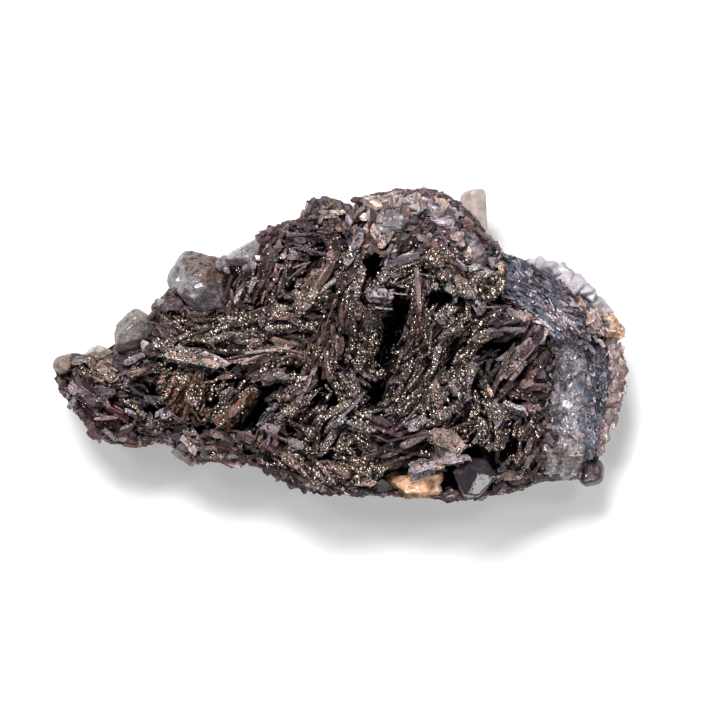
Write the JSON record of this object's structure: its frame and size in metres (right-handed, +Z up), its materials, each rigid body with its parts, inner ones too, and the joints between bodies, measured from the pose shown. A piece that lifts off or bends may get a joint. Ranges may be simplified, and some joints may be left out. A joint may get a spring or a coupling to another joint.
{
  "type": "calcite barite pyrite mineral specimen",
  "caption": "Elongated hand-sized mineral specimen with a crust of bladed barite dusted with pyrite and blocky calcite crystals, resting on its flat matrix rock.",
  "frame": {"origin": "middle of the flat broken underside of the matrix rock, on the surface that the specimen rests on", "axes": "+X along the specimen from its thin end to its thick end, +Y across it towards the edge with the pale prism, +Z up out of the crystal face"},
  "size_m": [0.1065, 0.0588, 0.0267],
  "materials": {
    "rock": "rough broken blue-grey matrix rock",
    "barite": "dark brown-grey barite blades dusted with pyrite grains",
    "grey_calcite": "translucent grey calcite with cleavage faces",
    "white_calcite": "cloudy white calcite",
    "pink_calcite": "rough pinkish calcite",
    "orange_calcite": "iron-stained orange calcite",
    "dark_crystal": "shiny dark crystal"
  },
  "bodies": {
    "root": {"matrix_rock": "rock", "barite_blades": "barite", "calcite_upper_left": "grey_calcite", "calcite_sliver": "grey_calcite", "calcite_left": "grey_calcite", "calcite_ledge": "grey_calcite", "calcite_tip": "grey_calcite", "calcite_top": "grey_calcite", "calcite_right_mass": "grey_calcite", "calcite_lower_right": "pink_calcite", "calcite_white_rim": "white_calcite", "calcite_pink_rim": "pink_calcite", "calcite_prism": "white_calcite", "calcite_chip": "pink_calcite", "orange_calcite_block": "orange_calcite", "orange_calcite_lump": "orange_calcite", "orange_calcite_chip": "orange_calcite", "dark_crystal": "dark_crystal"}
  },
  "joints": []
}
